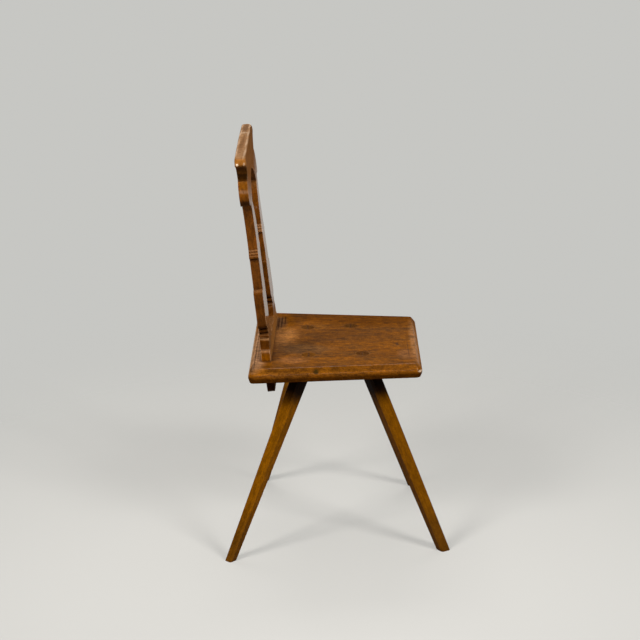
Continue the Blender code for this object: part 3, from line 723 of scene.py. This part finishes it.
# the pierced and shaped back board, its grain running upwards
backLook = {
    "arris": 0.0014, "rounds": 3,
    "wood": {
        "along": (0, 0.111, 0.994), "heart": (0.03, 0.02, 0.06),
        "ring": 0.0055, "wander": 0.02, "tilt": 0.02,
        "pale": (0.135, 0.041, 0.004), "deep": (0.085, 0.024, 0.002), "dark": (0.030, 0.008, 0.001),
        "haze": 0.5, "hazeColour": (0.075, 0.026, 0.003),
        "endColour": (0.27, 0.12, 0.04), "worn": (0.50, 0.32, 0.18),
        "ringShare": 0.14, "mottle": 0.26, "fibre": 0.18, "streak": 0.18, "speck": 0.18, "pore": 0.4,
        "endShare": 0.75, "crevice": 0.8, "edge": 0.6, "rough": 0.5, "specular": 0.0,
        "wax": 0.9, "waxRough": 0.08, "polished": (0, -0.994, -0.111), "waxElsewhere": 0.1,
        "swell": 0.35, "bloom": 0.27, "bloomColour": (1.0, 0.54, 0.26),
    },
    # painted highlights on the rims along the top of the crest; wind is how far it goes back for each metre
    # across
    "crestRims": {
        "across": (-0.18, -0.06, 0.06, 0.18), "back": (0.1988, 0.2156), "wind": 0.0222, "height": 0.8985,
        "look": {"reach": (0.085, 0.0032, 0.008), "share": 0.72, "colour": (0.53, 0.37, 0.25), "ragged": 0.5},
    },
    "dull": {
        "top": softMark((-0.017, 0.21, 0.87), (0.5, 0.12, 0.12), 1.0),
        "tenons": softMark((-0.017, 0.155, 0.385), (0.5, 0.12, 0.05), 1.0),
        "foot": softMark((-0.017, 0.155, 0.465), (0.5, 0.12, 0.06), 0.9),
    },
    "marks": {
        "orangeTop": softMark((-0.017, 0.20, 0.85), (0.5, 0.12, 0.07), 0.5, (0.19, 0.062, 0.003)),
        # painted shade on the tenons under the seat
        "darkTenons": softMark((-0.017, 0.155, 0.385), (0.5, 0.12, 0.045), 0.9, (0.036, 0.011, 0.002)),
        "darkLowerHalf": softMark((-0.017, 0.16, 0.53), (0.5, 0.12, 0.13), 0.55, (0.06, 0.017, 0.001)),
        # painted light where the near ear and crest end face up, painted shade under the crest, in the notch
        # and under the ear, and painted highlights on the crest end
        "orangeEar": softMark((-0.235, 0.195, 0.835), (0.08, 0.08, 0.02), 0.8, (0.165, 0.054, 0.004)),
        "paleEarBand": softMark((-0.24, 0.195, 0.825), (0.05, 0.08, 0.006), 0.45, (0.25, 0.14, 0.08)),
        "darkEarFoot": softMark((-0.24, 0.195, 0.800), (0.06, 0.08, 0.010), 0.75, (0.03, 0.009, 0.001)),
        "brownUnderCrest": softMark((-0.22, 0.20, 0.863), (0.05, 0.08, 0.022), 0.7, (0.085, 0.032, 0.006)),
        "darkNotch": softMark((-0.22, 0.20, 0.8535), (0.05, 0.08, 0.011), 0.85, (0.016, 0.006, 0.001), 0.2),
        "orangeCrestEnd": softMark((-0.255, 0.20, 0.891), (0.06, 0.06, 0.022), 0.85, (0.29, 0.11, 0.018)),
        "crestEndGlint": softMark(
            (-0.2497, 0.2065, 0.886), (0.0045, 0.0032, 0.0032), 0.85, (0.85, 0.68, 0.48), 0.1),
        "crestFrontGlint": softMark(
            (-0.2480, 0.1925, 0.887), (0.005, 0.0028, 0.005), 0.45, (0.70, 0.50, 0.33), 0.3),
        # painted reflection of the seat on the front of the foot
        "orangeFootFront": softMark(
            (-0.017, 0.1430, 0.465), (0.3, 0.0065, 0.055), 0.8, (0.27, 0.098, 0.003), 0.15),
        # painted shade on the base's recessed face, and painted highlights on its shoulder and on the foot's
        # rim
        "darkBase": softMark((-0.175, 0.155, 0.4795), (0.04, 0.08, 0.012), 0.7, (0.045, 0.013, 0.001)),
        "paleBaseShoulder": softMark((-0.175, 0.155, 0.4895), (0.04, 0.08, 0.0045), 0.5, (0.33, 0.17, 0.07)),
        "paleFootRim": softMark((-0.175, 0.155, 0.466), (0.04, 0.08, 0.0055), 0.55, (0.36, 0.17, 0.07), 0.9),
        "orangeFootBlock": softMark((-0.175, 0.155, 0.4495), (0.04, 0.08, 0.015), 0.8, (0.20, 0.062, 0.001)),
        # the crest's top end grain, worn pale, with a painted reflection of the light above
        "paleCrestTop": softMark((0, 0.21, 0.9035), (1, 1, 0.0085), 0.9, (0.30, 0.165, 0.08), 0.1),
        "darkCrestNear": softMark(
            (-0.085, 0.2056, 0.9015), (0.18, 0.0085, 0.008), 0.75, (0.15, 0.065, 0.025), 0.6),
        "darkCrestFar": softMark(
            (0.137, 0.2100, 0.9015), (0.085, 0.0105, 0.008), 0.8, (0.13, 0.068, 0.038), 0.35),
        # a pale spot across the crest top
        "wornCrestSpot": softMark(
            (0.0635, 0.2086, 0.9015), (0.014, 0.014, 0.008), 0.7, (0.55, 0.38, 0.25), 0.2),
    },
}


def crestRims(rims):
    centres = [(x, y + rims["wind"] * x, rims["height"]) for y in rims["back"] for x in rims["across"]]
    return {f"crestRim{number}": softMark(centre, **rims["look"]) for number, centre in enumerate(centres)}


back = copyOf("back_board", "shapedBack")
easeArrises(back, backLook["arris"], backLook["rounds"])
backMarks = {**backLook["marks"], **crestRims(backLook["crestRims"])}
backWood = woodMaterial("shapedBackWood", backLook["wood"], backMarks, backLook["dull"])
finishPiece(back, backWood, "back_board")
print("back made,", len(back.data.polygons), "faces")

# four splayed legs, tapered and chamfered with a plane
legLook = {
    "arris": 0.0012, "rounds": 3,
    "wood": {
        "ring": 0.0045, "wander": 0.010, "tilt": 0.012,
        "pale": (0.235, 0.084, 0.0008), "deep": (0.155, 0.051, 0.0005), "dark": (0.045, 0.015, 0.002),
        "haze": 0.35, "hazeColour": (0.145, 0.050, 0.001), "worn": (0.34, 0.145, 0.012),
        "ringShare": 0.10, "mottle": 0.24, "fibre": 0.14, "streak": 0.10, "speck": 0.2, "pore": 0.25,
        "endShare": 0.85, "crevice": 0.6, "edge": 0.3, "rough": 0.6, "specular": 0.0,
        "wax": 0.09, "waxRough": 0.2, "swell": 0.5,
    },
    # each leg's own lightness and lie in the tree, with the seat's shadow painted on it as a centre and a
    # reach
    "legs": {
        "leg_rear_right": {
            "tone": 1.0, "endColour": (0.155, 0.056, 0.010), "heart": (0.2, 0.03, 0.21),
            "shade": ((-0.14, 0.070, 0.390), (0.1, 0.07, 0.062))},
        "leg_front_right": {
            "tone": 0.83, "endColour": (0.075, 0.029, 0.010), "heart": (0.5, 0.05, -0.12),
            "shade": ((-0.122, -0.07, 0.392), (0.1, 0.1, 0.051)), "shadedSide": (0.05, 0.95, 0.3)},
        "leg_rear_left": {
            "tone": 0.95, "endColour": (0.085, 0.034, 0.010), "heart": (0.8, -0.04, 0.16),
            "shade": ((0.09, 0.08, 0.392), (0.1, 0.1, 0.045))},
        "leg_front_left": {
            "tone": 0.9, "endColour": (0.085, 0.034, 0.010), "heart": (1.1, 0.02, -0.17),
            "shade": ((0.10, -0.04, 0.392), (0.1, 0.1, 0.045)), "shadedSide": (-0.05, 0.95, 0.3)},
    },
    # the seat's shadow, painted nearly black over the top of each leg
    "shade": {"share": 0.96, "colour": (0.009, 0.003, 0.0005), "ragged": 0.15},
    # the wood darker towards the feet
    "scuffed": {"reach": (0.2, 0.2, 0.13), "share": 0.6, "colour": (0.085, 0.032, 0.003)},
}


def makeLeg(nodeName, look):
    own = look["legs"][nodeName]
    head, foot = legEnds[nodeName]
    leg = copyOf(nodeName, camelName(nodeName))
    easeArrises(leg, look["arris"], look["rounds"])
    wood = {**look["wood"], **own, "along": tuple((head - foot).normalized())}
    for key in ("pale", "deep", "hazeColour"):
        wood[key] = tuple(part * own["tone"] for part in wood[key])
    marks = {"shade": softMark(*own["shade"], **look["shade"]),
             "scuffed": softMark(tuple(foot), **look["scuffed"])}
    finishPiece(leg, woodMaterial(leg.name + "Wood", wood, marks), nodeName)


for name in legNames:
    makeLeg(name, legLook)
print("legs made")

# wedges in the leg tenons and keys through the back's tenons
smallLook = {
    "arris": 0.0004, "rounds": 2,
    "wood": {
        "heart": (0, 0.1, 0.1), "ring": 0.003, "wander": 0.004, "tilt": 0.01,
        "ringShare": 0.3, "mottle": 0.15, "fibre": 0.2, "streak": 0.2, "speck": 0.1, "pore": 0.4,
        "waxRough": 0.25,
    },
    "wedge": {
        "along": (0, 0, 1),
        "pale": (0.17, 0.07, 0.02), "deep": (0.11, 0.04, 0.01), "dark": (0.04, 0.014, 0.004),
        "haze": 0.0, "hazeColour": (0.07, 0.03, 0.008),
        "endColour": (0.085, 0.032, 0.009), "worn": (0.3, 0.15, 0.06),
        "endShare": 0.9, "crevice": 0.3, "edge": 0.0, "rough": 0.5, "specular": 0.0,
        "wax": 0.3, "swell": 0.2,
    },
    "key": {
        "along": (0, 1, 0),
        "pale": (0.17, 0.058, 0.008), "deep": (0.11, 0.034, 0.004), "dark": (0.04, 0.012, 0.003),
        "haze": 0.4, "hazeColour": (0.07, 0.025, 0.004),
        "endColour": (0.08, 0.03, 0.008), "worn": (0.34, 0.17, 0.06),
        "endShare": 0.6, "crevice": 0.7, "edge": 0.4, "rough": 0.48, "specular": 0.05,
        "wax": 0.25, "swell": 0.3,
    },
}
for kind in ("key", "wedge"):
    smallWood = woodMaterial(kind + "Wood", {**smallLook["wood"], **smallLook[kind]})
    for nodeName in sorted(name for name in nodes if kind in name):
        small = copyOf(nodeName, camelName(nodeName))
        easeArrises(small, smallLook["arris"], smallLook["rounds"])
        finishPiece(small, smallWood, nodeName)
print("wedges and keys made")

bpy.ops.object.select_all(action="DESELECT")
